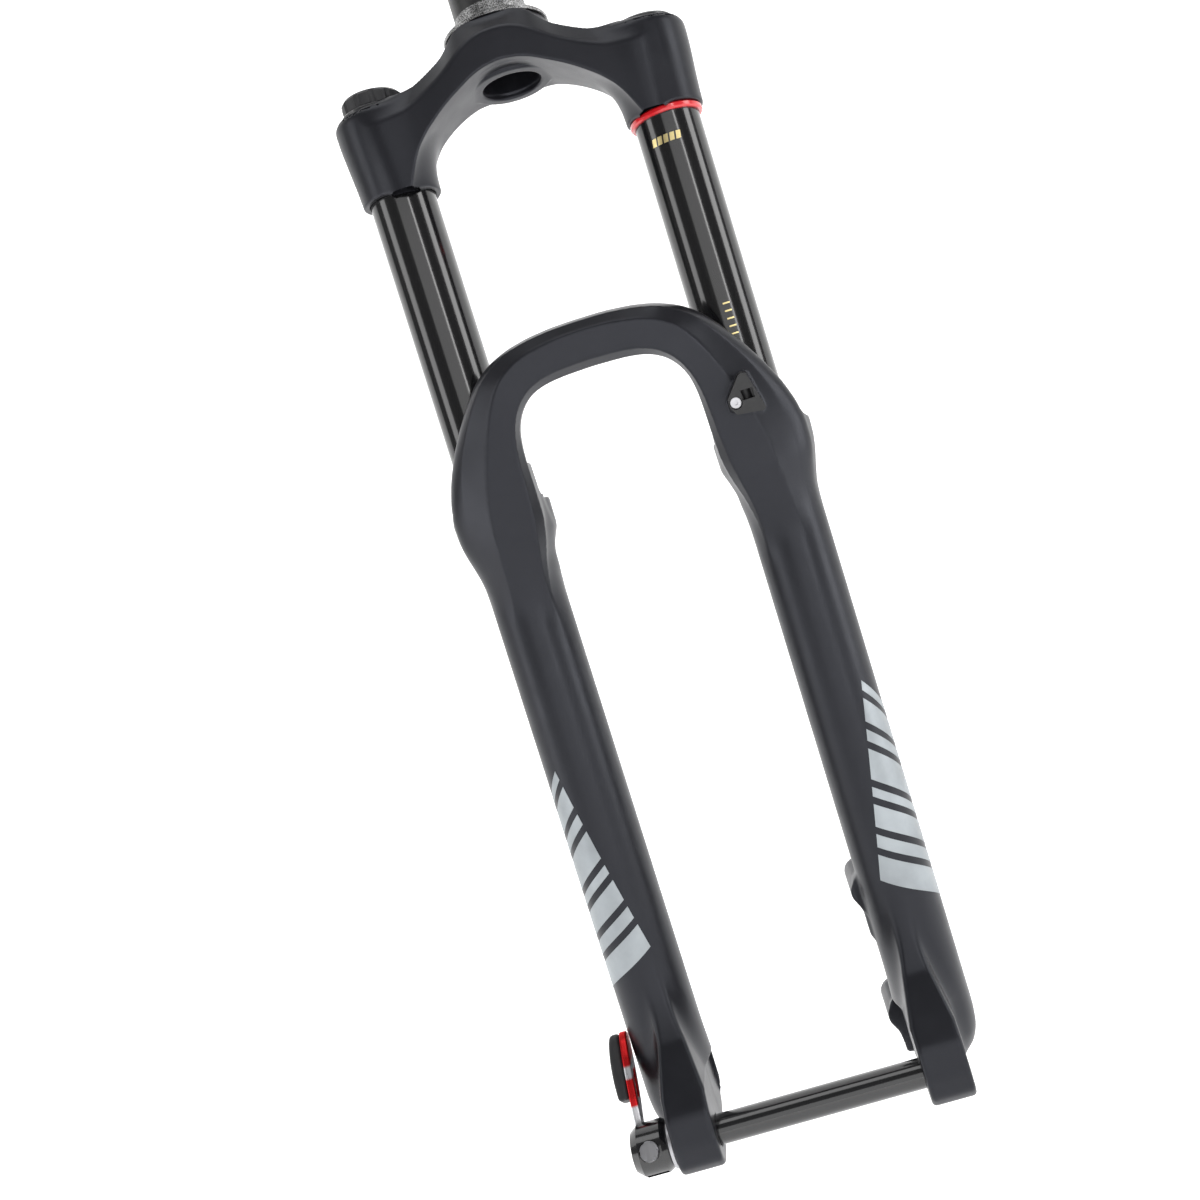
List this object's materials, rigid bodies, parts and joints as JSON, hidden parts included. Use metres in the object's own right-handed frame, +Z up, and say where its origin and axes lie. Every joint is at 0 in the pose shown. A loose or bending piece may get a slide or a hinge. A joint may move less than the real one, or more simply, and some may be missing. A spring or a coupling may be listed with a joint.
{
  "type": "bicycle suspension fork",
  "caption": "Single-crown mountain-bike suspension fork: tapered steerer, sliding lower legs with a front arch, quick-release through-axle, turning dials and brake tabs.",
  "frame": {"origin": "centre of the crown race seat, on the steerer axis, where the lower headset race sits", "axes": "+Z up the steerer and along the legs, -Y is the front of the fork, +X is the rider's left, the brake side"},
  "size_m": [0.2045, 0.0903, 0.84],
  "materials": {
    "crown_black": "satin black, fine cast texture",
    "steerer_silver": "turned, bare",
    "stanchion_black": "hard-anodised, glossy black",
    "cap_black": "anodised black",
    "dial_red": "anodised red",
    "dial_black": "moulded, scalloped",
    "seal_rubber": "soft black",
    "spacer_plastic": "moulded",
    "valve_brass": "turned",
    "machined_alloy": "machined",
    "spring_steel": "bright",
    "ring_red": "satin red",
    "casting_black": "satin black paint over a casting",
    "bushing_bronze": "dull, coated",
    "foam_grey": "open foam",
    "axle_black": "glossy black anodised",
    "bolt_black": "black oxide",
    "nut_silver": "bright",
    "lever_silver": "machined, clear anodised",
    "paddle_grey": "moulded, matte",
    "guide_black": "moulded, matte"
  },
  "bodies": {
    "upper": {"crown": "crown_black", "steerer": "steerer_silver", "stanchion_air": "stanchion_black", "stanchion_damper": "stanchion_black", "air_top_cap": "cap_black", "air_cap_seal": "seal_rubber", "air_volume_spacer": "spacer_plastic", "air_valve_body": "valve_brass", "air_seal_head": "machined_alloy", "air_head_clip": "spring_steel", "damper_top_cap": "cap_black", "damper_cap_seal": "seal_rubber", "damper_tube": "machined_alloy", "compression_valve": "machined_alloy", "damper_bladder": "seal_rubber", "damper_seal_head": "machined_alloy", "damper_head_clip": "spring_steel"},
    "compression_dial": {"compression_knob": "dial_black", "compression_spindle": "spring_steel"},
    "valve_cap": {"air_valve_cap": "cap_black"},
    "valve_pin": {"valve_core_pin": "valve_brass"},
    "ring": {"travel_ring": "ring_red"},
    "lowers": {"lower_casting": "casting_black", "bushing_upper_air": "bushing_bronze", "bushing_lower_air": "bushing_bronze", "foam_ring_air": "foam_grey", "dust_wiper_air": "seal_rubber", "wiper_spring_air": "spring_steel", "foot_bolt_air": "bolt_black", "crush_washer_air": "machined_alloy", "bushing_upper_damper": "bushing_bronze", "bushing_lower_damper": "bushing_bronze", "foam_ring_damper": "foam_grey", "dust_wiper_damper": "seal_rubber", "wiper_spring_damper": "spring_steel", "foot_bolt_damper": "bolt_black", "crush_washer_damper": "machined_alloy", "air_shaft": "machined_alloy", "air_piston": "machined_alloy", "air_piston_seal": "seal_rubber", "bottom_out_bumper": "seal_rubber", "damper_rod": "machined_alloy", "damper_piston": "machined_alloy", "damper_glide_ring": "guide_black", "hose_guide": "guide_black", "guide_screw": "nut_silver"},
    "rebound": {"rebound_rod": "spring_steel", "rebound_knob": "dial_red"},
    "axle_slider": {"axle_washer": "nut_silver"},
    "axle": {"axle_shaft": "axle_black", "axle_cam_head": "axle_black", "cam_pin": "nut_silver"},
    "lever": {"axle_lever": "lever_silver", "lever_paddle": "paddle_grey"}
  },
  "joints": [
    {"name": "fork_travel", "type": "slide", "parent": "upper", "child": "lowers", "axis": [0, 0, 1], "range_m": [0, 0.15], "stiffness_N_per_m": 4500},
    {"name": "compression_turn", "type": "hinge", "parent": "upper", "child": "compression_dial", "pos_m": [-0.0728, -0.0092, -0.02], "axis": [0, 0, 1], "range_deg": [0, 270]},
    {"name": "valve_cap_turn", "type": "hinge", "parent": "upper", "child": "valve_cap", "pos_m": [0.0728, -0.0092, -0.025], "axis": [0, 0, 1], "continuous": true},
    {"name": "valve_pin_press", "type": "slide", "parent": "upper", "child": "valve_pin", "axis": [0, 0, -1], "range_m": [0, 0.0015], "stiffness_N_per_m": 800},
    {"name": "ring_slide", "type": "slide", "parent": "upper", "child": "ring", "axis": [0, 0, -1], "range_m": [0, 0.008]},
    {"name": "rebound_turn", "type": "hinge", "parent": "lowers", "child": "rebound", "pos_m": [-0.0728, -0.0092, -0.606], "axis": [0, 0, 1], "range_deg": [-180, 180]},
    {"name": "axle_withdraw", "type": "slide", "parent": "lowers", "child": "axle_slider", "axis": [-1, 0, 0], "range_m": [0, 0.145]},
    {"name": "axle_turn", "type": "hinge", "parent": "axle_slider", "child": "axle", "pos_m": [-0.0809, -0.046, -0.586], "axis": [1, 0, 0], "continuous": true},
    {"name": "lever_flip", "type": "hinge", "parent": "axle", "child": "lever", "pos_m": [-0.0909, -0.04781, -0.5884], "axis": [0, -0.7986, 0.6018], "range_deg": [0, 110]}
  ]
}
